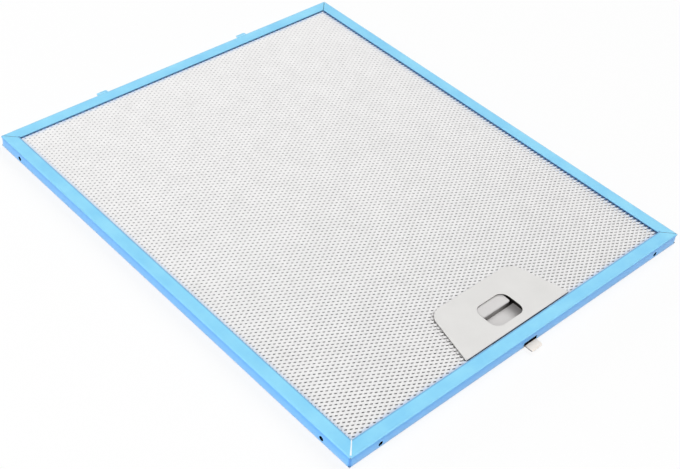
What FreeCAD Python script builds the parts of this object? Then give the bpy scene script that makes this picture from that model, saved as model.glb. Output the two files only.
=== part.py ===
import FreeCAD
import Part
import math
import os

os.makedirs("parts", exist_ok=True)
vec = FreeCAD.Vector

# Cooker hood grease filter, lying flat with its latch side up. Millimetres.
# X runs across, Y from the latch side to the rear, Z up.
# The origin is the middle of the underside of the whole part's bounding box.

# Frame: one aluminium strip folded to a channel and bent round the mesh
frame_width = 268.5
frame_depth = 320.0
frame_height = 8.0
sheet = 0.5
flange_width = 8.3
bend_radius = 1.0
corner_radius = 2.0
hem_width = 3.5
mitre_gap = 0.3
drain_hole_diameter = 3.0
drain_hole_inset = 21.0
drain_hole_height = 3.2

# Tabs lanced from the rear wall and bent outwards
tab_width = 7.8
tab_reach = 3.8
tab_offset = 58.0
tab_drop = 1.7
tab_corner = 1.2
lance_gap = 0.25

# Expanded mesh pack
mesh_gauge = 0.4
layer_gap = 0.05
mesh_side_gap = 0.8
inner_layers = 3
outer_ridge_pitch = 8.34
inner_ridge_pitch = 14.49
gap_length = 14.4
gap_breadth = 7.0
gap_spacing = 28.0
ridges_per_gap_row = 4

# Latch housing and slider, a little off the middle of the frame
latch_centre = 0.5
cover_gap = 0.6
cover_thickness = 1.0
cover_front_width = 85.2
cover_rear_width = 66.2
cover_rear_corner = 9.0
cover_front_corner = 0.8
cover_edge = 0.4
cover_lap = 1.2
opening_margin = 5.6
opening_width = 24.2
opening_depth = 18.6
opening_corner = 5.5
lip_setback = 11.0
lip_cover = 4.5
lip_edge = 0.5
lip_width = 22.8
lip_corner = 1.5
slider_wall = 1.2
slider_lift = 1.0
floor_margin = 1.9
tongue_width = 8.8
tongue_reach = 5.6
tongue_seat = 6.0
tongue_droop = 0.2
tongue_corner = 1.2
slot_side_gap = 1.0
slot_top_gap = 0.8
slot_in_flange = 2.0
latch_travel = 6.5
run_gap = 0.2
stop_gap = 0.1
housing_wall = 1.2
base_recess = 0.2
rail_width = 2.0
rail_offset = 9.0
stop_depth = 2.0
post_width = 4.4
post_gap = 1.0
peg_width = 2.6
peg_depth = 2.0
peg_gap = 0.05
pocket_gap = 0.6

# Return spring
spring_length = 14.4
spring_wire = 0.5
spring_turns = 6.0
spring_steps = 10
spring_gap = 0.3
spigot_gap = 0.3
spigot_length = 2.0

# Reach of cutters past the part, and the largest difference between equal lengths
tall = frame_height * 2
tiny = 1e-4

# Faces of the frame
left = -frame_width / 2
right = frame_width / 2
front = tongue_reach - (frame_depth + tongue_reach + tab_reach) / 2
rear = front + frame_depth
hem = 2 * sheet
under_hem = frame_height - hem
window_left = left + flange_width
window_right = right - flange_width
window_front = front + flange_width

# Places along the latch, from its front edge to the rear
cover_front = window_front + cover_gap
opening_front = cover_front + opening_margin
opening_rear = opening_front + opening_depth
lip_front = opening_front + lip_setback
lip_back = lip_front + slider_wall
lip_rear = opening_rear + lip_cover
spring_seat = lip_back + spring_length
cheek_rear = spring_seat - latch_travel - run_gap
stop_front = front + sheet + run_gap
shoulder = stop_front + stop_depth + stop_gap
pocket_rear = max(spring_seat + housing_wall, lip_rear + latch_travel) + pocket_gap
cover_rear = pocket_rear + cover_lap

# Heights and half widths in the latch
base_top = hem
floor_under = base_top + slider_lift
floor_top = floor_under + slider_wall
lip_top = under_hem - run_gap
lip_under = lip_top - slider_wall
slot_top = floor_top + slot_top_gap
slider_half = opening_width / 2 + floor_margin
lip_half = lip_width / 2
wall_in = slider_half + run_gap
wall_out = wall_in + housing_wall
post_offset = wall_out + post_gap + post_width / 2
pocket_half = post_offset + post_width / 2 + pocket_gap
post_joint = (base_top + under_hem) / 2
post_rows = [opening_front, spring_seat - post_width / 2]
post_places = [(x, y) for x in [-post_offset, post_offset] for y in post_rows]
slot_half = tongue_width / 2 + slot_side_gap
spring_radius = (lip_under - base_top) / 2 - spring_gap
spring_height = (lip_under + base_top) / 2
spigot_radius = spring_radius - spring_wire - spigot_gap

# Places of the two rear tabs
tab_places = [-tab_offset, tab_offset]
tab_top = frame_height - tab_drop


def box(x0, x1, y0, y1, z0, z1):
    return Part.makeBox(x1 - x0, y1 - y0, z1 - z0, vec(x0, y0, z0))


def rod(radius, start, direction, length):
    return Part.makeCylinder(radius, length, start, direction)


def is_upright(edge):
    return edge.BoundBox.XLength < tiny and edge.BoundBox.YLength < tiny


def is_level(edge):
    return edge.BoundBox.ZLength < tiny


def prism(points, direction):
    closed = points + points[:1]
    return Part.Face(Part.makePolygon(closed)).extrude(direction)


def fused(shapes):
    return shapes[0].fuse(shapes[1:]).removeSplitter()


# Closed face in the plane across a rail from (inward, up) points; a pair of points is an arc's middle and end
def section_face(start, steps):
    edges = []
    here = vec(0, *start)
    for step in steps:
        if isinstance(step[0], tuple):
            through = vec(0, *step[0])
            there = vec(0, *step[1])
            edges.append(Part.Arc(here, through, there).toShape())
        else:
            there = vec(0, *step)
            edges.append(Part.makeLine(here, there))
        here = there
    return Part.Face(Part.Wire(edges))


# Middle of a quarter arc, from its centre towards one of the four diagonals
def arc_middle(centre_in, centre_up, radius, side_in, side_up):
    reach = radius / math.sqrt(2)
    return centre_in + side_in * reach, centre_up + side_up * reach


# Section of the folded strip: wall, two flanges and their hems with full round noses
def strip_section():
    nose = flange_width - sheet
    hem_edge = flange_width - hem_width
    inner = bend_radius - sheet
    low = bend_radius
    high = frame_height - bend_radius
    return section_face((0, low), [
        (0, high),
        (arc_middle(bend_radius, high, bend_radius, -1, 1), (bend_radius, frame_height)),
        (nose, frame_height),
        ((flange_width, frame_height - sheet), (nose, under_hem)),
        (hem_edge, under_hem),
        (hem_edge, frame_height - sheet),
        (bend_radius, frame_height - sheet),
        (arc_middle(bend_radius, high, inner, -1, 1), (sheet, high)),
        (sheet, low),
        (arc_middle(bend_radius, low, inner, -1, -1), (bend_radius, sheet)),
        (hem_edge, sheet),
        (hem_edge, hem),
        (nose, hem),
        ((flange_width, sheet), (nose, 0)),
        (bend_radius, 0),
        (arc_middle(bend_radius, low, bend_radius, -1, -1), (0, low))])


# The four sides in order round the frame: length, turn about Z and starting corner
frame_sides = [
    (frame_width, 0, vec(left, front, 0)),
    (frame_depth, 90, vec(right, front, 0)),
    (frame_width, 180, vec(right, rear, 0)),
    (frame_depth, 270, vec(left, rear, 0))]


# Four straight rails, mitred with a gap between their flanges
def mitred_rails(section):
    clear = mitre_gap / math.sqrt(2)
    deep = 2 * flange_width
    rails = []
    for length, turn, start in frame_sides:
        keep = prism([vec(clear - deep, -deep, -tall), vec(length - clear + deep, -deep, -tall),
                      vec(length - clear - deep, deep, -tall), vec(clear + deep, deep, -tall)],
                     vec(0, 0, 2 * tall))
        rail = section.extrude(vec(length, 0, 0)).common(keep)
        rail.rotate(vec(), vec(0, 0, 1), turn)
        rail.translate(start)
        rails.append(rail)
    return rails


# Wall bent round each corner, between the bends of the flanges
def corner_bends():
    bends = []
    height = frame_height - 2 * bend_radius
    for length, turn, start in frame_sides:
        shell = Part.makeCylinder(corner_radius, height, vec(), vec(0, 0, 1), 90)
        shell = shell.cut(Part.makeCylinder(corner_radius - sheet, height))
        shell.rotate(vec(), vec(0, 0, 1), 180)
        shell.translate(vec(corner_radius, corner_radius, bend_radius))
        shell.rotate(vec(), vec(0, 0, 1), turn)
        shell.translate(start)
        bends.append(shell)
    return bends


# Room for the bent wall at each corner
def corner_rooms():
    rooms = []
    for length, turn, start in frame_sides:
        room = box(-corner_radius, corner_radius, -corner_radius, corner_radius,
                   bend_radius, frame_height - bend_radius)
        room.rotate(vec(), vec(0, 0, 1), turn)
        room.translate(start)
        rooms.append(room)
    return rooms


# Upright slit at the front left corner, where the two ends of the strip meet
def seam_cutter():
    slit = box(-flange_width, flange_width, -mitre_gap / 2, mitre_gap / 2, -tall, tall)
    slit.rotate(vec(), vec(0, 0, 1), 45)
    slit.translate(vec(left, front, 0))
    return slit


# Punched openings in the walls: drain holes, the notch for the tongue and the windows behind the tabs
def wall_cutters():
    radius = drain_hole_diameter / 2
    deep = flange_width
    cutters = []
    for x in [left + drain_hole_inset, right - drain_hole_inset]:
        cutters.append(rod(radius, vec(x, front - deep / 2, drain_hole_height), vec(0, 1, 0), deep))
        cutters.append(rod(radius, vec(x, rear - deep / 2, drain_hole_height), vec(0, 1, 0), deep))
    for y in [front + drain_hole_inset, rear - drain_hole_inset]:
        cutters.append(rod(radius, vec(left - deep / 2, y, drain_hole_height), vec(1, 0, 0), deep))
        cutters.append(rod(radius, vec(right - deep / 2, y, drain_hole_height), vec(1, 0, 0), deep))
    cutters.append(box(latch_centre - slot_half, latch_centre + slot_half,
                       front - deep, front + slot_in_flange, -tall, slot_top))
    half = tab_width / 2 + lance_gap
    for x in tab_places:
        cutters.append(box(x - half, x + half, rear - deep / 2, rear + deep, tab_top - tab_reach, tab_top))
    return cutters


# Tab bent out of the rear wall, level with the top of the window that it leaves
def rear_tab(x):
    half = tab_width / 2
    plate = box(x - half, x + half, rear - sheet, rear + tab_reach, tab_top - sheet, tab_top)
    tip = [e for e in plate.Edges if is_upright(e) and e.BoundBox.YMin > rear]
    return plate.makeFillet(tab_corner, tip)


# Folded strip: mitred rails joined by the bent wall at the corners, with its seam, punched openings and tabs
def make_frame():
    rails = [rail.cut(corner_rooms()) for rail in mitred_rails(strip_section())]
    strip = fused(rails + corner_bends()).cut([seam_cutter()] + wall_cutters())
    return fused([strip] + [rear_tab(x) for x in tab_places])


# Points of a zigzag sheet section; the first number runs across the ridges, the second is height
def zigzag(start, end, pitch, low, high):
    count = int((end - start) // pitch)
    margin = (end - start - count * pitch) / 2
    crest = high - low - mesh_gauge
    steps = [(start + margin + i * pitch / 2, low + crest * (i % 2)) for i in range(2 * count + 1)]
    return steps + [(along, level + mesh_gauge) for along, level in reversed(steps)]


# Outline of every mesh layer inside the channel
mesh_left = left + sheet + mesh_side_gap
mesh_right = right - sheet - mesh_side_gap
mesh_front = front + sheet + mesh_side_gap
mesh_rear = rear - sheet - mesh_side_gap
layer_count = inner_layers + 2
layer_height = (under_hem - hem) / layer_count


def layer_span(index):
    low = hem + index * layer_height + layer_gap / 2
    return low, low + layer_height - layer_gap


# Cut-out in the front edge of every layer, which takes the latch housing
def latch_pocket():
    return box(latch_centre - pocket_half, latch_centre + pocket_half, front, pocket_rear, -tall, tall)


# Diamond gaps on the crests of an outer layer, in staggered rows
def diamond_gaps():
    count = int((mesh_rear - mesh_front) // outer_ridge_pitch)
    start = mesh_front + (mesh_rear - mesh_front - count * outer_ridge_pitch) / 2
    columns = int((window_right - window_left) // gap_spacing)
    gaps = []
    for row, ridge in enumerate(range(ridges_per_gap_row // 2, count, ridges_per_gap_row)):
        y = start + (ridge + 0.5) * outer_ridge_pitch
        shift = (row % 2) / 2 - (columns - 0.5) / 2
        for column in range(columns):
            x = (column + shift) * gap_spacing
            if abs(x - latch_centre) < cover_front_width / 2 + gap_length and y < cover_rear + gap_breadth:
                continue
            corners = [vec(x - gap_length / 2, y, -tall), vec(x, y - gap_breadth / 2, -tall),
                       vec(x + gap_length / 2, y, -tall), vec(x, y + gap_breadth / 2, -tall)]
            gaps.append(prism(corners, vec(0, 0, 2 * tall)))
    return gaps


# Outer layer: ridges run across, with diamond gaps
def make_outer_mesh(index):
    low, high = layer_span(index)
    section = zigzag(mesh_front, mesh_rear, outer_ridge_pitch, low, high)
    layer = prism([vec(mesh_left, y, z) for y, z in section], vec(mesh_right - mesh_left, 0, 0))
    return layer.cut(diamond_gaps() + [latch_pocket()])


# Inner layer: ridges run from front to rear, across those of the outer layers
def make_inner_mesh(index):
    low, high = layer_span(index)
    section = zigzag(mesh_left, mesh_right, inner_ridge_pitch, low, high)
    layer = prism([vec(x, mesh_front, z) for x, z in section], vec(0, mesh_rear - mesh_front, 0))
    return layer.cut(latch_pocket())


# Square post or peg of the latch housing
def post(x, y, width, low, high):
    return box(x - width / 2, x + width / 2, y - width / 2, y + width / 2, low, high)


# Tapered plate of the latch housing, with rounded corners
def tapered_plate(low, high):
    corners = [vec(-cover_front_width / 2, cover_front, low), vec(cover_front_width / 2, cover_front, low),
               vec(cover_rear_width / 2, cover_rear, low), vec(-cover_rear_width / 2, cover_rear, low)]
    plate = prism(corners, vec(0, 0, high - low))
    rear_edges = [e for e in plate.Edges if is_upright(e) and e.BoundBox.YMin > opening_rear]
    plate = plate.makeFillet(cover_rear_corner, rear_edges)
    front_edges = [e for e in plate.Edges if is_upright(e) and e.BoundBox.YMax < opening_front]
    return plate.makeFillet(cover_front_corner, front_edges)


# Top half of the latch housing: plate with the finger opening, and posts whose pegs seat in the base
def make_latch_cover():
    top = under_hem + cover_thickness
    plate = tapered_plate(under_hem, top)
    rim = [e for e in plate.Edges if is_level(e) and e.BoundBox.ZMin > top - cover_edge]
    plate = plate.makeChamfer(cover_edge, rim)
    opening = box(-opening_width / 2, opening_width / 2, opening_front, opening_rear, under_hem, top)
    opening = opening.makeFillet(opening_corner, [e for e in opening.Edges if is_upright(e)])
    plate = plate.cut(opening)
    posts = []
    for x, y in post_places:
        posts.append(post(x, y, post_width, post_joint, under_hem))
        posts.append(post(x, y, peg_width, post_joint - peg_depth, post_joint))
    return fused([plate] + posts)


# Bottom half of the latch housing: plate, guide walls, rails, stops, spring wall and sockets for the pegs
def make_latch_base():
    solids = [tapered_plate(base_recess, base_top)]
    for side in [-1, 1]:
        wall = sorted([side * wall_in, side * wall_out])
        rail = sorted([side * (rail_offset - rail_width / 2), side * (rail_offset + rail_width / 2)])
        stop = sorted([side * (slot_half + slot_side_gap), side * wall_out])
        solids.append(box(wall[0], wall[1], stop_front, spring_seat + housing_wall, base_top, under_hem))
        solids.append(box(rail[0], rail[1], stop_front, spring_seat, base_top, floor_under - run_gap))
        solids.append(box(stop[0], stop[1], stop_front, stop_front + stop_depth, base_top, slot_top))
    solids.append(box(-wall_in, wall_in, spring_seat, spring_seat + housing_wall,
                      base_top, lip_under - run_gap))
    solids.append(rod(spigot_radius, vec(0, spring_seat, spring_height), vec(0, -1, 0), spigot_length))
    socket_width = peg_width + 2 * peg_gap
    sockets = []
    for x, y in post_places:
        solids.append(post(x, y, post_width, base_top, post_joint))
        sockets.append(post(x, y, socket_width, post_joint - peg_depth - run_gap, post_joint))
    return fused(solids).cut(sockets)


# Moulded slider: floor between the guide walls, lip that a finger pulls, its cheeks, and the tongue below
def make_latch_slider():
    floor = box(-slider_half, slider_half, shoulder, lip_back, floor_under, floor_top)
    section = [vec(-lip_half, lip_front, floor_under), vec(-lip_half, lip_back, floor_under),
               vec(-lip_half, lip_back, lip_under), vec(-lip_half, lip_rear, lip_under),
               vec(-lip_half, lip_rear, lip_top), vec(-lip_half, lip_front, lip_top)]
    lip = prism(section, vec(lip_width, 0, 0))
    ends = [e for e in lip.Edges if is_upright(e) and e.BoundBox.YMax < lip_back - tiny]
    lip = lip.makeFillet(lip_corner, ends)
    grip = [e for e in lip.Edges if e.BoundBox.ZMin > lip_under and e.BoundBox.YMax < lip_back - tiny]
    lip = lip.makeChamfer(lip_edge, grip)
    cheeks = []
    for low_x in [-lip_half, lip_half - slider_wall]:
        cheeks.append(box(low_x, low_x + slider_wall, lip_back, cheek_rear, floor_under, lip_under))
    half = tongue_width / 2
    tip = front - tongue_reach
    seat = shoulder + tongue_seat
    tongue_under = base_top + stop_gap
    side = [vec(-half, seat, tongue_under), vec(-half, seat, floor_under), vec(-half, front, floor_under),
            vec(-half, tip, floor_under - tongue_droop), vec(-half, tip, tongue_under)]
    tongue = prism(side, vec(tongue_width, 0, 0))
    tip_edges = [e for e in tongue.Edges if is_upright(e) and e.BoundBox.YMax < tip + tiny]
    tongue = tongue.makeFillet(tongue_corner, tip_edges)
    spigot = rod(spigot_radius, vec(0, lip_back, spring_height), vec(0, 1, 0), spigot_length)
    return fused([floor, lip] + cheeks + [tongue, spigot])


# Coil spring along Y between the slider's lip wall and the base's rear wall, its wire bent in short steps
def make_latch_spring():
    coil_radius = spring_radius - spring_wire / 2
    half = spring_wire / 2
    pitch = (spring_length - spring_wire) / spring_turns
    steps = round(spring_turns * spring_steps)
    path = []
    for step in range(steps + 1):
        turn = 2 * math.pi * step / spring_steps
        path.append(vec(coil_radius * math.cos(turn), lip_back + half + pitch * step / spring_steps,
                        spring_height + coil_radius * math.sin(turn)))
    heading = path[1] - path[0]
    wire = Part.makePolygon([vec(half * math.cos(side * math.pi / 3), half * math.sin(side * math.pi / 3), 0)
                             for side in range(7)])
    wire.Placement = FreeCAD.Placement(path[0], FreeCAD.Rotation(vec(0, 0, 1), heading))
    return Part.makePolygon(path).makePipeShell([wire], True, False, 1)


# A latch part, made about the middle of its own width, moved to its place across the frame
def at_latch(shape):
    return shape.translated(vec(latch_centre, 0, 0))


nodes = {
    "frame": make_frame(),
    "lower_mesh": make_outer_mesh(0),
    "upper_mesh": make_outer_mesh(layer_count - 1),
    "latch_cover": at_latch(make_latch_cover()),
    "latch_base": at_latch(make_latch_base()),
    "latch_slider": at_latch(make_latch_slider()),
    "latch_spring": at_latch(make_latch_spring()),
}
for layer in range(1, inner_layers + 1):
    nodes["inner_mesh_" + str(layer)] = make_inner_mesh(layer)

for name, shape in nodes.items():
    shape.exportStep("parts/" + name + ".step")
    print(name, "solids", len(shape.Solids), "valid", shape.isValid(), "volume", round(shape.Volume, 2))
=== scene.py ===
import math
import bmesh
import bpy
from mathutils import Matrix, Vector


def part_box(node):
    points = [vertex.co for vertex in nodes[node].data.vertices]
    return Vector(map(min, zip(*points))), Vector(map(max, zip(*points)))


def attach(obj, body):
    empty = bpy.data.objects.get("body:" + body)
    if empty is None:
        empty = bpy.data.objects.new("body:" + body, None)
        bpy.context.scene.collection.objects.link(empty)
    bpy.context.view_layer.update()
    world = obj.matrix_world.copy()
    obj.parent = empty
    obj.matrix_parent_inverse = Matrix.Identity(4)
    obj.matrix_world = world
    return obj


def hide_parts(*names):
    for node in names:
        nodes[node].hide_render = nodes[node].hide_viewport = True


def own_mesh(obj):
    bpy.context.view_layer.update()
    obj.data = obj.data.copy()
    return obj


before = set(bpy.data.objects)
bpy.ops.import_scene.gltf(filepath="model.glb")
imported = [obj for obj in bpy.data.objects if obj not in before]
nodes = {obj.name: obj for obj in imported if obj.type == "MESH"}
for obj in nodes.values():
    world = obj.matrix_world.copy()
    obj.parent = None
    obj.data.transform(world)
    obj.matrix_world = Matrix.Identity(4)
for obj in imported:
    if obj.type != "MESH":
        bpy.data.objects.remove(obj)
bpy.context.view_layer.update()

mm = 0.001  # lengths are written in millimetres times this

# the folded frame's walls, and the latch cover that is set into its front
frameLow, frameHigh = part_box("frame")
coverLow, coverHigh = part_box("latch_cover")
tabReach = 3.8 * mm  # how far the tabs stand out of the rear wall
flangeWidth = 8.3 * mm
frontWall, rearWall = frameLow.y, frameHigh.y - tabReach
leftWall, rightWall = frameLow.x, frameHigh.x
middleX, middleY = (leftWall + rightWall) / 2, (frontWall + rearWall) / 2
frameTop = frameHigh.z
mergeGap = 0.002 * mm  # points of a CAD mesh that are nearer than this are one
mostly = 0.5  # a face looks mostly one way when its normal's share of it is more than this
print("frame loaded:", len(nodes), "nodes")


# small helpers for colours, node trees and meshes
def screenColour(red, green, blue):
    # screen levels of 0 to 255 as linear light
    def toLinear(level):
        share = level / 255
        return share / 12.92 if share <= 0.04045 else ((share + 0.055) / 1.055) ** 2.4
    return (toLinear(red), toLinear(green), toLinear(blue), 1.0)


white = screenColour(255, 255, 255)


def plug(tree, value, socketIn):
    # a field is linked to the socket, and a plain number or colour is set on it
    if isinstance(value, bpy.types.NodeSocket):
        tree.links.new(value, socketIn)
    else:
        socketIn.default_value = value


def addNode(tree, kind, inputs=None, **settings):
    made = tree.nodes.new(kind)
    for key, value in settings.items():
        setattr(made, key, value)
    for key, value in (inputs or {}).items():
        plug(tree, value, made.inputs[key])
    return made


def calc(tree, operation, first, second=0.0):
    return addNode(tree, "ShaderNodeMath", {0: first, 1: second}, operation=operation).outputs[0]


def product(tree, first, *others):
    for other in others:
        first = calc(tree, "MULTIPLY", first, other)
    return first


def vector(tree, x, y, z):
    return addNode(tree, "ShaderNodeCombineXYZ", {"X": x, "Y": y, "Z": z}).outputs[0]


def axes(tree, field):
    return addNode(tree, "ShaderNodeSeparateXYZ", {0: field}).outputs


def addObject(name, mesh, *materials):
    made = bpy.data.objects.new(name, mesh)
    bpy.context.scene.collection.objects.link(made)
    for material in materials:
        made.data.materials.append(material)
    return made


def bakeModifiers(made):
    graph = bpy.context.evaluated_depsgraph_get()
    mesh = bpy.data.meshes.new_from_object(made.evaluated_get(graph))
    made.modifiers.clear()
    made.data = mesh
    return made


def smoothUpTo(made, angle):
    for face in made.data.polygons:
        face.use_smooth = True
    made.data.set_sharp_from_angle(angle=angle)


def faceCount(made):
    made.data.calc_loop_triangles()
    return len(made.data.loop_triangles)


# a geometry tree with named inputs, and the plain mesh that it makes
def startTree(name, resultName, inputs):
    tree = bpy.data.node_groups.new(name, "GeometryNodeTree")
    for kind, socketNames in inputs.items():
        for socketName in socketNames:
            tree.interface.new_socket(socketName, in_out="INPUT", socket_type="NodeSocket" + kind)
    tree.interface.new_socket(resultName, in_out="OUTPUT", socket_type="NodeSocketGeometry")
    return tree, addNode(tree, "NodeGroupInput").outputs


def growPiece(name, tree, values):
    socket = {item.name: item.identifier for item in tree.interface.items_tree if item.in_out == "INPUT"}
    piece = addObject(name, bpy.data.meshes.new(name))
    modifier = piece.modifiers.new(tree.name, "NODES")
    modifier.node_group = tree
    for key, value in values.items():
        modifier[socket[key]] = value
    return bakeModifiers(piece)


# what the materials share
def startMaterial(name, metallic=0.0, gloss=0.5):
    material = bpy.data.materials.new(name)
    material.use_nodes = True
    tree = material.node_tree
    shader = tree.nodes["Principled BSDF"]
    shader.inputs["Metallic"].default_value = metallic
    shader.inputs["Specular IOR Level"].default_value = gloss
    place = addNode(tree, "ShaderNodeTexCoord").outputs["Object"]
    return material, tree, shader, place


def facing(tree):
    return axes(tree, addNode(tree, "ShaderNodeNewGeometry").outputs["Normal"])


def noiseField(tree, place, scale, detail, stretch=(1, 1, 1)):
    stretched = addNode(tree, "ShaderNodeMapping", {"Vector": place, "Scale": stretch}).outputs["Vector"]
    noise = addNode(tree, "ShaderNodeTexNoise", {"Vector": stretched, "Scale": scale, "Detail": detail})
    return noise.outputs["Fac"]


def rampTo(tree, field, low, high):
    # 0 at the low end to 1 at the high end
    ramp = addNode(tree, "ShaderNodeMapRange", {"Value": field, "From Min": low, "From Max": high})
    return ramp.outputs["Result"]


def colourRamp(tree, field, *stops):
    ramp = addNode(tree, "ShaderNodeValToRGB", {"Fac": field})
    while len(ramp.color_ramp.elements) < len(stops):
        ramp.color_ramp.elements.new(1.0)
    for element, (place, colour) in zip(ramp.color_ramp.elements, stops):
        element.position = place
        element.color = colour
    return ramp.outputs["Color"]


def tintBetween(tree, noise, dull, bright):
    noiseLow, noiseHigh = 0.3, 0.7  # most of a noise lies between these
    return colourRamp(tree, noise, (noiseLow, dull), (noiseHigh, bright))


def blendColours(tree, factor, first, second):
    made = addNode(tree, "ShaderNodeMix", {"Factor": factor, "A": first, "B": second}, data_type="RGBA")
    return made.outputs["Result"]


def roughBetween(tree, shader, field, low, high):
    spread = addNode(tree, "ShaderNodeMapRange", {"Value": field, "To Min": low, "To Max": high})
    plug(tree, spread.outputs["Result"], shader.inputs["Roughness"])


def bumpFrom(tree, shader, field, strength, height):
    bump = addNode(tree, "ShaderNodeBump", {"Height": field, "Strength": strength, "Distance": height})
    plug(tree, bump.outputs["Normal"], shader.inputs["Normal"])


def fromWall(tree, spot):
    # how far in from the nearest wall of the frame a place lies
    across = calc(tree, "ABSOLUTE", calc(tree, "SUBTRACT", spot[0], middleX))
    along = calc(tree, "ABSOLUTE", calc(tree, "SUBTRACT", spot[1], middleY))
    return calc(tree, "MINIMUM", calc(tree, "SUBTRACT", rightWall - middleX, across),
                calc(tree, "SUBTRACT", rearWall - middleY, along))


# blue film: pale on the flanges, with painted light and shade: deeper blue down the walls, darker round the
# corners, bends and inner edge
filmLook = {
    "gloss": 0.6, "roughness": (0.30, 0.42), "bump": (0.12, 0.05 * mm),
    "clouds": (60, 5), "wrinkles": (160, 2),  # scale and detail of a noise
    "top": (screenColour(132, 211, 250), screenColour(150, 225, 255)), "topFacing": (0.95, 0.99),
    "edgeShade": screenColour(106, 164, 214), "edgeShadeWidth": 1.2 * mm, "edgeShadeFull": 0.3 * mm, "edgeShadePast": 0.5 * mm,
    # painted light and shade, by share of the frame's height
    "wall": ((0.1, screenColour(133, 188, 239)), (0.35, screenColour(115, 188, 249)),
             (0.65, screenColour(110, 186, 250)), (0.85, screenColour(96, 173, 240))),
    "corner": screenColour(78, 146, 220), "cornerFacing": (0.2, 0.5),
    "shoulder": screenColour(98, 176, 244), "shoulderFacing": (0.05, 0.3),
    "nose": screenColour(112, 164, 214), "noseWidth": 0.55 * mm,
    "bendLit": screenColour(146, 220, 255), "bendShaded": screenColour(124, 180, 218),
    "bendFacing": (0.3, 0.6), "bendTurn": (-0.2, 0.2), "tabFrom": 0.2 * mm,
}


def makeFilm():
    look = filmLook
    material, tree, shader, place = startMaterial("blueFilm", gloss=look["gloss"])
    normal = facing(tree)
    spot = axes(tree, place)
    inward = fromWall(tree, spot)
    top = tintBetween(tree, noiseField(tree, place, *look["clouds"]), *look["top"])
    # painted shade: a darker line along the inner edge at the front and left
    near = calc(tree, "MINIMUM", calc(tree, "SUBTRACT", spot[0], leftWall),
                calc(tree, "SUBTRACT", spot[1], frontWall))
    edgeShadeStart = flangeWidth - look["edgeShadeWidth"]
    edgeShade = product(tree, rampTo(tree, near, edgeShadeStart, flangeWidth - look["edgeShadeFull"]),
                   calc(tree, "LESS_THAN", near, flangeWidth + look["edgeShadePast"]),
                   calc(tree, "GREATER_THAN", inward, edgeShadeStart))
    top = blendColours(tree, edgeShade, top, look["edgeShade"])
    # painted shade: deeper blue down the walls, deepest round the corners and just below the bends, and
    # darker on the flange's inner edge
    low = colourRamp(tree, calc(tree, "DIVIDE", spot[2], frameTop), *look["wall"])
    corner = calc(tree, "ABSOLUTE", product(tree, normal[0], normal[1]))
    low = blendColours(tree, rampTo(tree, corner, *look["cornerFacing"]), low, look["corner"])
    low = blendColours(tree, rampTo(tree, normal[2], *look["shoulderFacing"]), low, look["shoulder"])
    nose = calc(tree, "GREATER_THAN", inward, flangeWidth - look["noseWidth"])
    low = blendColours(tree, nose, low, look["nose"])
    # painted light and shade on the bends: pale where they face the front and left, darker where they face
    # the other sides
    away = rampTo(tree, calc(tree, "ADD", normal[0], normal[1]), *look["bendTurn"])
    bend = blendColours(tree, away, look["bendLit"], look["bendShaded"])
    colour = blendColours(tree, rampTo(tree, normal[2], *look["bendFacing"]), low, bend)
    onTab = calc(tree, "LESS_THAN", inward, -look["tabFrom"])
    flat = calc(tree, "MAXIMUM", rampTo(tree, normal[2], *look["topFacing"]), onTab)
    plug(tree, blendColours(tree, flat, colour, top), shader.inputs["Base Color"])
    wrinkles = noiseField(tree, place, *look["wrinkles"])
    roughBetween(tree, shader, wrinkles, *look["roughness"])
    bumpFrom(tree, shader, wrinkles, *look["bump"])
    return material


# bare aluminium strip: rolled bright, with painted shade making it dark inside the channel
stripLook = {
    "metallic": 0.9, "roughness": (0.28, 0.42), "bump": (0.15, 0.02 * mm),
    "rolling": (60, 4, (1, 1, 12)), "grain": (900, 2),
    "tints": (screenColour(222, 222, 222), screenColour(242, 242, 242)),
    "inside": screenColour(14, 14, 24), "skin": 0.4 * mm, "tabRoot": 0.6 * mm,
}


def makeStripMetal():
    look = stripLook
    material, tree, shader, place = startMaterial("bareAluminium", look["metallic"])
    rolling = noiseField(tree, place, *look["rolling"])
    bright = tintBetween(tree, rolling, *look["tints"])
    # painted shade inside the channel, while the rear wall and its tabs stay bright
    spot = axes(tree, place)
    offMiddle = calc(tree, "ABSOLUTE", calc(tree, "SUBTRACT", spot[2], frameTop / 2))
    inside = product(tree, calc(tree, "LESS_THAN", offMiddle, frameTop / 2 - look["skin"]),
                     calc(tree, "LESS_THAN", spot[1], rearWall - look["tabRoot"]))
    plug(tree, blendColours(tree, inside, bright, look["inside"]), shader.inputs["Base Color"])
    roughBetween(tree, shader, rolling, *look["roughness"])
    bumpFrom(tree, shader, noiseField(tree, place, *look["grain"]), *look["bump"])
    return material


# mesh aluminium: bright outside, and a darker copy inside the pack as painted shade
meshLook = {
    "metallic": 0.75, "roughness": (0.3, 0.5), "bump": (0.2, 0.03 * mm),
    "patches": (90, 4), "scuffs": (420, 2), "grain": (1500, 2),
    "frontFaceShade": screenColour(156, 155, 155), "frontFaceShadeFacing": (0.5, 0.2),
    "filmReflection": screenColour(186, 216, 250), "filmReflectionReach": 3.0 * mm, "filmReflectionShare": 0.6,
    "packEdgeShadeFull": 0.2 * mm,
}
outerLook = {"tints": (screenColour(243, 242, 242), screenColour(248, 247, 247)),
             "packEdgeShade": screenColour(116, 162, 214), "packEdgeShadeReach": 0.6 * mm}
# the inner sheets' darker grey is painted shade
innerLook = {"tints": (screenColour(178, 177, 177), screenColour(194, 193, 193)),
             "packEdgeShade": screenColour(44, 70, 118), "packEdgeShadeReach": 4.5 * mm}


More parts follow.
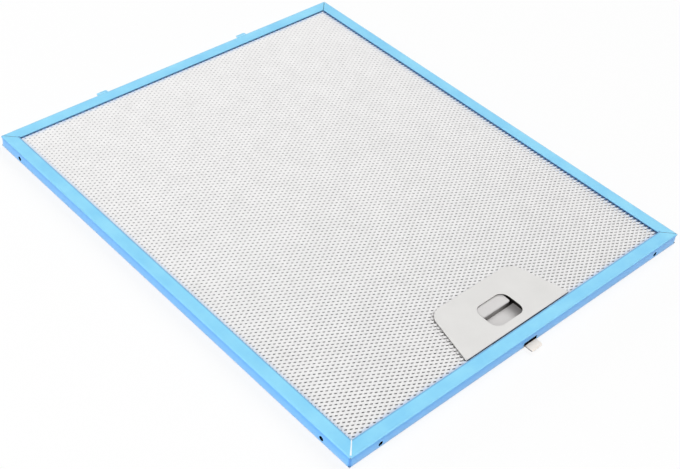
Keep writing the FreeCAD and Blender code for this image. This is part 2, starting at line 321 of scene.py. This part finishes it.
def makeMeshMetal(name, sheetLook):
    look = {**meshLook, **sheetLook}
    material, tree, shader, place = startMaterial(name, look["metallic"])
    colour = tintBetween(tree, noiseField(tree, place, *look["patches"]), *look["tints"])
    # painted shade: darker on the upright faces of the strands that face the front
    normal = facing(tree)
    upright = rampTo(tree, calc(tree, "ABSOLUTE", normal[2]), *look["frontFaceShadeFacing"])
    frontFaceShade = product(tree, upright, calc(tree, "LESS_THAN", normal[1], 0.0))
    colour = blendColours(tree, frontFaceShade, colour, look["frontFaceShade"])
    # painted reflection: bluish beside the film; painted shade: darker and bluer where the pack is tucked
    # into the channel
    inward = fromWall(tree, axes(tree, place))
    filmReflection = rampTo(tree, inward, flangeWidth + look["filmReflectionReach"], flangeWidth)
    colour = blendColours(tree, product(tree, filmReflection, look["filmReflectionShare"]), colour, look["filmReflection"])
    packEdgeShade = rampTo(tree, inward, flangeWidth + look["packEdgeShadeReach"], flangeWidth + look["packEdgeShadeFull"])
    plug(tree, blendColours(tree, packEdgeShade, colour, look["packEdgeShade"]), shader.inputs["Base Color"])
    roughBetween(tree, shader, noiseField(tree, place, *look["scuffs"]), *look["roughness"])
    bumpFrom(tree, shader, noiseField(tree, place, *look["grain"]), *look["bump"])
    return material


# the strip's cut edges and the spring wire
cutEdgeLook = {"metallic": 0.4, "roughness": (0.25, 0.4), "grain": (500, 2),
               "tints": (screenColour(244, 248, 252), screenColour(254, 255, 255))}
springLook = {"metallic": 1.0, "roughness": (0.22, 0.38), "grain": (700, 3),
              "tints": (screenColour(150, 150, 152), screenColour(196, 196, 198))}


def makePlainMetal(name, look):
    material, tree, shader, place = startMaterial(name, look["metallic"])
    grain = noiseField(tree, place, *look["grain"])
    plug(tree, tintBetween(tree, grain, *look["tints"]), shader.inputs["Base Color"])
    roughBetween(tree, shader, grain, *look["roughness"])
    return material


# grey plastic: each painted shade lies below a height, and may keep to a stretch along Y or grow towards
# the right
plasticLook = {
    "mottle": (45, 3), "grain": (2600, 2), "roughness": (0.42, 0.58), "bump": (0.15, 0.04 * mm),
    "leftSideShade": screenColour(150, 142, 140), "leftSideShadeFacing": (-0.4, -0.8),
}
coverFront = coverLow.y + 0.3 * mm
recessFront, recessRear = coverLow.y + 4.0 * mm, coverLow.y + 25.0 * mm
lipFront = coverLow.y + 16.6 * mm
lipFace = lipFront - 0.3 * mm
underFlange = frontWall + flangeWidth
tongueRoot = frontWall - 0.4 * mm
allFront, allRear = -1.0, 1.0  # well past both ends of the filter
coverLook = {
    "tints": (screenColour(227, 226, 224), screenColour(233, 232, 230)),
    "paintedShades": (
        # painted shade on the sides of the plate and of the finger opening, darkest at the opening's right
        {"colour": screenColour(128, 125, 123), "height": (7.75 * mm, 7.3 * mm)},
        {"colour": screenColour(26, 23, 22), "height": (7.75 * mm, 7.4 * mm),
         "along": (recessFront, recessRear), "across": (2 * mm, 11 * mm)},
        # painted shade on the edge that meets the flange, and on what lies under the flange
        {"colour": screenColour(44, 62, 80), "height": (7.95 * mm, 7.7 * mm),
         "along": (allFront, coverFront)},
        {"colour": screenColour(16, 16, 28), "height": (6.95 * mm, 6.9 * mm),
         "along": (allFront, underFlange)},
    ),
}
sliderLook = {
    "tints": (screenColour(222, 220, 219), screenColour(230, 228, 227)), "leftSideShadeRear": frontWall,
    "paintedShades": (
        # painted shade on the floor that shows in the finger opening
        {"colour": screenColour(178, 175, 174), "height": (3.9 * mm, 3.6 * mm),
         "along": (underFlange, lipFront), "across": (4 * mm, 13 * mm)},
        # painted shade on the face of the lip, darkest at its right
        {"colour": screenColour(150, 147, 146), "height": (6.5 * mm, 6.2 * mm),
         "along": (lipFace, allRear)},
        {"colour": screenColour(30, 26, 25), "height": (6.5 * mm, 6.2 * mm),
         "along": (lipFace, allRear), "across": (1 * mm, 11 * mm)},
        # the tongue: painted light, paler outside the wall, and painted shade, dark in its notch
        {"colour": screenColour(252, 242, 230), "height": (6.95 * mm, 6.9 * mm),
         "along": (allFront, tongueRoot)},
        {"colour": screenColour(16, 16, 28), "height": (6.95 * mm, 6.9 * mm),
         "along": (tongueRoot, underFlange)},
    ),
}


def shadeShare(tree, spot, shade):
    share = rampTo(tree, spot[2], *shade["height"])
    if "along" in shade:
        front, rear = shade["along"]
        share = product(tree, share, calc(tree, "GREATER_THAN", spot[1], front),
                        calc(tree, "LESS_THAN", spot[1], rear))
    if "across" in shade:
        share = product(tree, share, rampTo(tree, spot[0], *shade["across"]))
    return share


def makePlastic(name, pieceLook):
    look = {**plasticLook, **pieceLook}
    material, tree, shader, place = startMaterial(name)
    colour = tintBetween(tree, noiseField(tree, place, *look["mottle"]), *look["tints"])
    spot = axes(tree, place)
    for shade in look["paintedShades"]:
        colour = blendColours(tree, shadeShare(tree, spot, shade), colour, shade["colour"])
    if "leftSideShadeRear" in look:
        # painted shade: greyer on the faces at the left of the tongue
        side = product(tree, rampTo(tree, facing(tree)[0], *look["leftSideShadeFacing"]),
                       calc(tree, "LESS_THAN", spot[1], look["leftSideShadeRear"]))
        colour = blendColours(tree, side, colour, look["leftSideShade"])
    plug(tree, colour, shader.inputs["Base Color"])
    grain = noiseField(tree, place, *look["grain"])
    roughBetween(tree, shader, grain, *look["roughness"])
    bumpFrom(tree, shader, grain, *look["bump"])
    return material


blueFilm = makeFilm()
outerMetal = makeMeshMetal("brightMeshAluminium", outerLook)
innerMetal = makeMeshMetal("shadedMeshAluminium", innerLook)
cutEdge = makePlainMetal("cutEdgeAluminium", cutEdgeLook)
springSteel = makePlainMetal("springSteel", springLook)
coverPlastic = makePlastic("coverPlastic", coverLook)
sliderPlastic = makePlastic("sliderPlastic", sliderLook)
nodes["frame"].data.materials.clear()
nodes["frame"].data.materials.append(makeStripMetal())
print("materials made")


# expanded metal sheets: one tree lays a strand in every half cell, leaning one way or the other
sheetSettings = {
    "outer": {"Long Way": 4.83 * mm, "Short Way": 2.78 * mm, "Strand Width": 1.25 * mm,
              "Strand Thickness": 0.4 * mm, "Tilt": math.radians(30), "Wave": 0.0, "Wave Pitch": 20 * mm},
    "inner": {"Long Way": 9.4 * mm, "Short Way": 5.3 * mm, "Strand Width": 1.9 * mm,
              "Strand Thickness": 0.3 * mm, "Tilt": math.radians(24), "Wave": 0.15 * mm},
    "innerPitches": (20 * mm, 23 * mm, 26 * mm),  # of the wave, so that the layers don't nest
    "tuck": 3.2 * mm, "pocketHalf": 21.4 * mm, "coverLap": 1.2 * mm,
}


def addStrand(tree, given, halfLong, halfShort, lean):
    # a bar with open ends, sheared to reach the next bond and tilted about the long way
    size = vector(tree, halfLong, given["Strand Width"], given["Strand Thickness"])
    bar = addNode(tree, "GeometryNodeMeshCube", {"Size": size})
    normal = axes(tree, addNode(tree, "GeometryNodeInputNormal").outputs[0])
    ends = calc(tree, "GREATER_THAN", calc(tree, "ABSOLUTE", normal[0]), mostly)
    opened = addNode(tree, "GeometryNodeDeleteGeometry", {
        "Geometry": bar.outputs["Mesh"], "Selection": ends}, domain="FACE", mode="ONLY_FACE")
    corner = axes(tree, addNode(tree, "GeometryNodeInputPosition").outputs[0])
    reach = product(tree, corner[0], product(tree, calc(tree, "DIVIDE", halfShort, halfLong), lean))
    rise = product(tree, corner[1], calc(tree, "TANGENT", given["Tilt"]))
    shaped = addNode(tree, "GeometryNodeSetPosition", {
        "Geometry": opened.outputs["Geometry"], "Offset": vector(tree, 0.0, reach, rise)})
    return shaped.outputs["Geometry"]


def buildSheetTree():
    tree, given = startTree("expandedSheet", "Sheet", {
        "Float": ("Long Way", "Short Way", "Strand Width", "Strand Thickness", "Tilt", "Wave", "Wave Pitch",
                  "Level", "Centre Y", "Pocket Centre", "Pocket Half Width", "Pocket Rear"),
        "Int": ("Columns", "Rows"), "Material": ("Metal",),
    })
    halfLong = product(tree, given["Long Way"], 0.5)
    halfShort = product(tree, given["Short Way"], 0.5)
    # one point at the middle of each half cell
    width = product(tree, calc(tree, "SUBTRACT", given["Columns"], 1.0), halfLong)
    depth = product(tree, calc(tree, "SUBTRACT", given["Rows"], 1.0), halfShort)
    grid = addNode(tree, "GeometryNodeMeshGrid", {
        "Size X": width, "Size Y": depth, "Vertices X": given["Columns"], "Vertices Y": given["Rows"]})
    spot = axes(tree, addNode(tree, "GeometryNodeInputPosition").outputs[0])
    fromLeft = calc(tree, "ADD", spot[0], product(tree, width, 0.5))
    fromFront = calc(tree, "ADD", spot[1], product(tree, depth, 0.5))
    column = calc(tree, "ROUND", calc(tree, "DIVIDE", fromLeft, halfLong))
    row = calc(tree, "ROUND", calc(tree, "DIVIDE", fromFront, halfShort))
    odd = calc(tree, "FLOORED_MODULO", calc(tree, "ADD", column, row), 2.0)
    even = calc(tree, "SUBTRACT", 1.0, odd)
    # the sheet is cut away where the latch housing sits
    offCentre = calc(tree, "ABSOLUTE", calc(tree, "SUBTRACT", spot[0], given["Pocket Centre"]))
    across = calc(tree, "LESS_THAN", offCentre, given["Pocket Half Width"])
    along = calc(tree, "LESS_THAN", calc(tree, "ADD", spot[1], given["Centre Y"]), given["Pocket Rear"])
    pocketed = addNode(tree, "GeometryNodeDeleteGeometry", {
        "Geometry": grid.outputs["Mesh"], "Selection": product(tree, across, along)})
    laid = addNode(tree, "GeometryNodeJoinGeometry")
    for lean, chosen in ((1.0, even), (-1.0, odd)):
        strands = addNode(tree, "GeometryNodeInstanceOnPoints", {
            "Points": pocketed.outputs["Geometry"], "Selection": chosen,
            "Instance": addStrand(tree, given, halfLong, halfShort, lean)})
        plug(tree, strands.outputs["Instances"], laid.inputs["Geometry"])
    real = addNode(tree, "GeometryNodeRealizeInstances", {"Geometry": laid.outputs["Geometry"]})
    # the whole sheet goes to its level, and the inner ones are crimped to a slow wave
    turn = calc(tree, "DIVIDE", product(tree, spot[1], 2 * math.pi), given["Wave Pitch"])
    swell = product(tree, calc(tree, "SINE", turn), given["Wave"])
    lift = vector(tree, 0.0, given["Centre Y"], calc(tree, "ADD", swell, given["Level"]))
    lifted = addNode(tree, "GeometryNodeSetPosition", {
        "Geometry": real.outputs["Geometry"], "Offset": lift})
    painted = addNode(tree, "GeometryNodeSetMaterial", {
        "Geometry": lifted.outputs["Geometry"], "Material": given["Metal"]})
    addNode(tree, "NodeGroupOutput", {"Sheet": painted.outputs["Geometry"]})
    return tree


sheetTree = buildSheetTree()


def laySheet(name, nodeName, metal, cell):
    sizes = sheetSettings
    long, short, width = cell["Long Way"], cell["Short Way"], cell["Strand Width"]
    margin = 2 * (flangeWidth - sizes["tuck"])
    low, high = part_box(nodeName)
    sheet = growPiece(name, sheetTree, {
        **cell, "Level": (low.z + high.z) / 2, "Centre Y": middleY, "Metal": metal,
        "Pocket Centre": (coverLow.x + coverHigh.x) / 2,
        "Pocket Half Width": sizes["pocketHalf"] + long / 4,
        "Pocket Rear": coverHigh.y - sizes["coverLap"] + short / 4 + width / 2,
        "Columns": int((rightWall - leftWall - margin) / (long / 2)),
        "Rows": int((rearWall - frontWall - margin) / (short / 2)),
    })
    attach(sheet, "filter")
    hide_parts(nodeName)
    print(name, "laid:", faceCount(sheet), "triangles")


laySheet("upper_expanded_sheet", "upper_mesh", outerMetal, sheetSettings["outer"])
laySheet("lower_expanded_sheet", "lower_mesh", outerMetal, sheetSettings["outer"])
for layer, pitch in enumerate(sheetSettings["innerPitches"], 1):
    laySheet("inner_expanded_sheet_%d" % layer, "inner_mesh_%d" % layer, innerMetal,
             {**sheetSettings["inner"], "Wave Pitch": pitch})


# blue protective film: a skin over the outer side of the folded frame strip
filmSettings = {
    "thickness": 0.08 * mm, "slack": 0.06 * mm, "sharpAngle": math.radians(40),
    "bend": 1.0 * mm, "cornerRadius": 2.0 * mm, "nose": 0.5 * mm, "noseWrap": 0.85 * mm,
    "seamBare": 0.3 * mm, "seamReach": 15 * mm, "cutGap": 0.001 * mm,
    "foldTurn": math.radians(225),  # towards the front left corner
    "foldHalf": 0.5 * mm, "foldLift": 0.09 * mm, "foldSteps": 2, "bendSteps": 6,
    "edgeInner": 0.2 * mm, "edgeOuter": 0.45 * mm, "edgeLift": 0.11 * mm,
}


def onOuterSide(centre, normal):
    sizes = filmSettings
    slack, bend, nose, radius = sizes["slack"], sizes["bend"], sizes["nose"], sizes["cornerRadius"]
    across = min(centre.x - leftWall, rightWall - centre.x)
    along = min(centre.y - frontWall, rearWall - centre.y)
    inward = min(across, along)
    edge = min(centre.z, frameTop - centre.z)
    if along < -slack:
        return normal.z > mostly  # the tabs carry film on top
    if across < radius and along < radius and abs(normal.z) < mostly:
        return abs(math.hypot(across - radius, along - radius) - radius) < slack
    if inward < slack or edge < slack:
        return True
    if inward < bend and edge < bend:
        return abs(math.hypot(inward - bend, edge - bend) - bend) < slack
    if inward > flangeWidth - nose and edge < sizes["noseWrap"]:
        return abs(math.hypot(inward - flangeWidth + nose, edge - nose) - nose) < slack
    return False


def addShell(skin, shells, materialIndex):
    # closes two equal grids of points into one thin plate
    lower, upper = shells
    rows, columns = len(lower), len(lower[0])
    quads = []
    for row in range(rows - 1):
        for column in range(columns - 1):
            for grid in shells:
                quads.append((grid[row][column], grid[row + 1][column],
                              grid[row + 1][column + 1], grid[row][column + 1]))
    rim = [(0, column) for column in range(columns)]
    rim += [(row, columns - 1) for row in range(1, rows)]
    rim += [(rows - 1, column) for column in range(columns - 2, -1, -1)]
    rim += [(row, 0) for row in range(rows - 2, 0, -1)]
    for (row, column), (nextRow, nextColumn) in zip(rim, rim[1:] + rim[:1]):
        quads.append((lower[row][column], lower[nextRow][nextColumn],
                      upper[nextRow][nextColumn], upper[row][column]))
    for quad in quads:
        skin.faces.new(quad).material_index = materialIndex


def foldFilm(skin, centre):
    # the film is folded over the wall where the strip's ends meet
    sizes = filmSettings
    radius, bend, steps = sizes["cornerRadius"], sizes["bend"], sizes["bendSteps"]
    slopes = [math.pi / 2 * step / steps for step in range(steps + 1)]
    section = [(radius - bend + bend * math.sin(slope), frameTop - bend + bend * math.cos(slope), slope)
               for slope in slopes]
    section += [(out, frameTop - height, math.pi - slope) for out, height, slope in reversed(section)]
    shells = []
    for lift in (sizes["foldLift"], sizes["foldLift"] + sizes["thickness"]):
        grid = []
        for step in range(-sizes["foldSteps"], sizes["foldSteps"] + 1):
            turn = sizes["foldTurn"] + step * sizes["foldHalf"] / radius / sizes["foldSteps"]
            outward = Vector((math.cos(turn), math.sin(turn), 0))
            row = []
            for out, height, slope in section:
                push = outward * math.sin(slope) + Vector((0, 0, math.cos(slope)))
                row.append(skin.verts.new(centre + outward * out + Vector((0, 0, height)) + push * lift))
            grid.append(row)
        shells.append(grid)
    addShell(skin, shells, 0)


def bareEdges(skin, centre):
    # the strip's two cut edges lie side by side on the flange, widest at the bend
    sizes = filmSettings
    inner = Vector((leftWall + flangeWidth, frontWall + flangeWidth, frameTop))
    toCorner = Vector((-1, -1, 0)).normalized()
    outer = centre + toCorner * (sizes["cornerRadius"] - sizes["bend"]) + Vector((0, 0, frameTop))
    side = Vector((1, -1, 0)).normalized()
    shells = []
    for lift in (0.0, sizes["edgeLift"]):
        up = Vector((0, 0, lift))
        shells.append([[skin.verts.new(inner + side * way * sizes["edgeInner"] + up),
                        skin.verts.new(outer + side * way * sizes["edgeOuter"] + up)] for way in (-1, 1)])
    addShell(skin, shells, 1)


def closeSeam(film):
    film.data.materials.append(cutEdge)
    skin = bmesh.new()
    skin.from_mesh(film.data)
    radius = filmSettings["cornerRadius"]
    centre = Vector((leftWall + radius, frontWall + radius, 0))
    foldFilm(skin, centre)
    bareEdges(skin, centre)
    skin.normal_update()
    bmesh.ops.recalc_face_normals(skin, faces=skin.faces[:])
    skin.to_mesh(film.data)
    skin.free()


def cutBackFilm(skin):
    # the film stops short of the open front left mitre
    sizes = filmSettings
    corner = Vector((leftWall, frontWall, 0))
    across = Vector((1, -1, 0)).normalized()
    for side in (-1, 1):
        everything = skin.verts[:] + skin.edges[:] + skin.faces[:]
        bmesh.ops.bisect_plane(skin, geom=everything, plane_co=corner + across * side * sizes["seamBare"],
                               plane_no=across, dist=sizes["cutGap"])

    def onMitre(face):
        spot = face.calc_center_median()
        offset = spot - corner
        onTop = face.normal.z > mostly and spot.z > frameTop / 2
        return onTop and abs(offset.dot(across)) < sizes["seamBare"] and offset.length < sizes["seamReach"]
    bmesh.ops.delete(skin, geom=[face for face in skin.faces if onMitre(face)], context="FACES")


def makeFilmSkin():
    sizes = filmSettings
    skin = bmesh.new()
    skin.from_mesh(nodes["frame"].data)
    bmesh.ops.remove_doubles(skin, verts=skin.verts, dist=mergeGap)
    skin.normal_update()
    hidden = [face for face in skin.faces if not onOuterSide(face.calc_center_median(), face.normal)]
    bmesh.ops.delete(skin, geom=hidden, context="FACES")
    cutBackFilm(skin)
    mesh = bpy.data.meshes.new("protective_film")
    skin.to_mesh(mesh)
    skin.free()
    film = addObject("protective_film", mesh, blueFilm)
    thicken = film.modifiers.new("thickness", "SOLIDIFY")
    thicken.thickness = sizes["thickness"]
    thicken.offset = 1.0
    bakeModifiers(film)
    closeSeam(film)
    smoothUpTo(film, sizes["sharpAngle"])
    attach(film, "filter")
    print("film laid:", faceCount(film), "triangles")


makeFilmSkin()


# latch mouldings: the solids with their sharp edges rounded, as they leave the mould
mouldingSettings = {
    "flatAngle": math.radians(2), "edgeAngle": math.radians(32), "sharpAngle": math.radians(35),
    "edgeSteps": 3, "flatWeight": 100,
    "coverEdge": 0.5 * mm, "baseEdge": 0.15 * mm, "sliderEdge": 0.25 * mm,
}


def softenMoulding(name, nodeName, edge, material, body):
    sizes = mouldingSettings
    solid = bmesh.new()
    solid.from_mesh(nodes[nodeName].data)
    bmesh.ops.remove_doubles(solid, verts=solid.verts, dist=mergeGap)
    bmesh.ops.dissolve_limit(solid, angle_limit=sizes["flatAngle"], verts=solid.verts, edges=solid.edges)
    mesh = bpy.data.meshes.new(name)
    solid.to_mesh(mesh)
    solid.free()
    piece = addObject(name, mesh, material)
    rounding = piece.modifiers.new("roundedEdges", "BEVEL")
    rounding.width = sizes[edge]
    rounding.segments = sizes["edgeSteps"]
    rounding.limit_method = "ANGLE"
    rounding.angle_limit = sizes["edgeAngle"]
    rounding.miter_outer = "MITER_ARC"
    bakeModifiers(piece)
    smoothUpTo(piece, sizes["sharpAngle"])
    # flat faces keep their own normals, so that only the rounded edges shade off
    levelled = piece.modifiers.new("flatFaces", "WEIGHTED_NORMAL")
    levelled.keep_sharp = True
    levelled.weight = sizes["flatWeight"]
    bakeModifiers(piece)
    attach(piece, body)
    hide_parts(nodeName)
    print(name, "softened:", faceCount(piece), "triangles")


softenMoulding("latch_cover_moulding", "latch_cover", "coverEdge", coverPlastic, "filter")
softenMoulding("latch_base_moulding", "latch_base", "baseEdge", coverPlastic, "filter")
softenMoulding("latch_slider_moulding", "latch_slider", "sliderEdge", sliderPlastic, "slider")


# return spring: a round wire wound along the latch's travel
springSettings = {
    "wire": 0.5 * mm, "turns": 6.0, "turnSteps": 24, "wireSteps": 10,
    "keep": 0.549,  # share of its length that is left with the latch drawn back
}


def buildCoilTree():
    tree, given = startTree("coiledWire", "Coil", {
        "Float": ("Turns", "Coil Radius", "Coil Length", "Wire Radius"),
        "Int": ("Turn Steps", "Wire Steps"), "Vector": ("Middle",), "Material": ("Metal",),
    })
    helix = addNode(tree, "GeometryNodeCurveSpiral", {
        "Resolution": given["Turn Steps"], "Rotations": given["Turns"], "Height": given["Coil Length"],
        "Start Radius": given["Coil Radius"], "End Radius": given["Coil Radius"]})
    section = addNode(tree, "GeometryNodeCurvePrimitiveCircle", {
        "Resolution": given["Wire Steps"], "Radius": given["Wire Radius"]})
    wire = addNode(tree, "GeometryNodeCurveToMesh", {
        "Curve": helix.outputs["Curve"], "Profile Curve": section.outputs["Curve"], "Fill Caps": True})
    laid = addNode(tree, "GeometryNodeTransform", {
        "Geometry": wire.outputs["Mesh"], "Translation": given["Middle"], "Rotation": (-math.pi / 2, 0, 0)})
    smooth = addNode(tree, "GeometryNodeSetShadeSmooth", {"Geometry": laid.outputs["Geometry"]})
    real = addNode(tree, "GeometryNodeRealizeInstances", {"Geometry": smooth.outputs["Geometry"]})
    painted = addNode(tree, "GeometryNodeSetMaterial", {
        "Geometry": real.outputs["Geometry"], "Material": given["Metal"]})
    addNode(tree, "NodeGroupOutput", {"Coil": painted.outputs["Geometry"]})
    return tree


def windSpring():
    sizes = springSettings
    wire = sizes["wire"]
    low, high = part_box("latch_spring")
    coilX, coilZ = (low.x + high.x) / 2, (low.z + high.z) / 2
    spring = growPiece("return_spring", buildCoilTree(), {
        "Turns": sizes["turns"], "Turn Steps": sizes["turnSteps"], "Wire Steps": sizes["wireSteps"],
        "Coil Radius": (high.z - low.z - wire) / 2, "Coil Length": high.y - low.y - wire,
        "Wire Radius": wire / 2, "Middle": (coilX, low.y + wire / 2, coilZ), "Metal": springSteel,
    })
    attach(spring, "filter")
    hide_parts("latch_spring")
    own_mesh(spring)
    print("spring wound:", faceCount(spring), "triangles")


windSpring()


# floor, light and camera
stageSettings = {
    "floorSize": 6.0, "floorLevel": -0.12 * mm, "floorRoughness": 0.9,
    "floorGlow": 0.85, "floorEdge": 0.3 * mm,
    "domeLevel": 0.20, "target": (0.0, 0.0, 0.0),
    "keyPower": 1.73, "keySpread": math.radians(43), "keyPlace": (2.03, 0.42, 1.9),
    "sidePower": 90.0, "sideSize": (3.5, 3.5), "sidePlace": (-2.8, -1.05, 2.8),
    "fillPower": 6.5, "fillSize": (1.6, 0.16), "fillPlace": (-1.2, -0.95, 0.1),
    "backPower": 24.0, "backSize": (2.6, 0.5), "backPlace": (0.2, 2.3, 0.42),
}
cameraSettings = {
    "place": (-424.44 * mm, -415.31 * mm, 499.45 * mm), "aim": (-28.43 * mm, -35.10 * mm, 8.0 * mm),
    "roll": math.radians(5.806), "lens": 66.922, "sensor": 36.0, "nearest": 10 * mm,
}


def seenRays(tree):
    # rays that show the white surround itself, rather than light from it
    rays = addNode(tree, "ShaderNodeLightPath").outputs
    seen = calc(tree, "MAXIMUM", rays["Is Camera Ray"], rays["Is Glossy Ray"])
    return calc(tree, "MAXIMUM", seen, rays["Is Transmission Ray"])


def makeFloor():
    sizes = stageSettings
    half = sizes["floorSize"] / 2
    mesh = bpy.data.meshes.new("floor")
    corners = [(x * half, y * half, sizes["floorLevel"]) for x, y in ((-1, -1), (1, -1), (1, 1), (-1, 1))]
    mesh.from_pydata(corners, [], [(0, 1, 2, 3)])
    material, tree, shader, place = startMaterial("paleFloor", gloss=0.0)
    shader.inputs["Base Color"].default_value = white
    shader.inputs["Roughness"].default_value = sizes["floorRoughness"]
    # only the open floor is kept white, not what lies under the filter
    clear = calc(tree, "LESS_THAN", fromWall(tree, axes(tree, place)), sizes["floorEdge"])
    clear = calc(tree, "MAXIMUM", clear, addNode(tree, "ShaderNodeNewGeometry").outputs["Backfacing"])
    glow = addNode(tree, "ShaderNodeEmission", {"Color": white, "Strength": 1.0})
    blend = addNode(tree, "ShaderNodeMixShader", {
        "Fac": product(tree, seenRays(tree), clear, sizes["floorGlow"]),
        1: shader.outputs["BSDF"], 2: glow.outputs["Emission"]})
    plug(tree, blend.outputs["Shader"], tree.nodes["Material Output"].inputs["Surface"])
    addObject("floor", mesh, material)


def makeDome():
    world = bpy.data.worlds.new("softDome")
    bpy.context.scene.world = world
    world.use_nodes = True
    tree = world.node_tree
    dome = tree.nodes["Background"]
    dome.inputs["Color"].default_value = white
    level = addNode(tree, "ShaderNodeMapRange", {
        "Value": seenRays(tree), "To Min": stageSettings["domeLevel"], "To Max": 1.0})
    plug(tree, level.outputs["Result"], dome.inputs["Strength"])


def makeLamp(name, kind):
    sizes = stageSettings
    data = bpy.data.lights.new(name + "Light", kind)
    data.energy = sizes[name + "Power"]
    if kind == "SUN":
        data.angle = sizes[name + "Spread"]
    else:
        data.shape = "RECTANGLE"
        data.size, data.size_y = sizes[name + "Size"]
    lamp = bpy.data.objects.new(name + "Light", data)
    bpy.context.scene.collection.objects.link(lamp)
    lamp.visible_glossy = False  # gloss mirrors the white surround instead
    lamp.location = sizes[name + "Place"]
    lamp.rotation_euler = (Vector(sizes["target"]) - lamp.location).to_track_quat("-Z", "Y").to_euler()


def makeCamera():
    sizes = cameraSettings
    data = bpy.data.cameras.new("photoCamera")
    data.lens = sizes["lens"]
    data.sensor_width = sizes["sensor"]
    data.sensor_fit = "HORIZONTAL"
    data.clip_start = sizes["nearest"]
    camera = bpy.data.objects.new("photoCamera", data)
    bpy.context.scene.collection.objects.link(camera)
    back = (Vector(sizes["place"]) - Vector(sizes["aim"])).normalized()
    level = Vector((0, 0, 1)).cross(back).normalized()
    upright = back.cross(level)
    right = level * math.cos(sizes["roll"]) + upright * math.sin(sizes["roll"])
    turn = Matrix((right, back.cross(right), back)).transposed().to_4x4()
    camera.matrix_world = Matrix.Translation(sizes["place"]) @ turn
    bpy.context.scene.camera = camera


makeFloor()
makeDome()
makeLamp("key", "SUN")
for lampName in ("side", "fill", "back"):
    makeLamp(lampName, "AREA")
makeCamera()
bpy.context.scene.view_settings.view_transform = "Standard"
print("stage set")
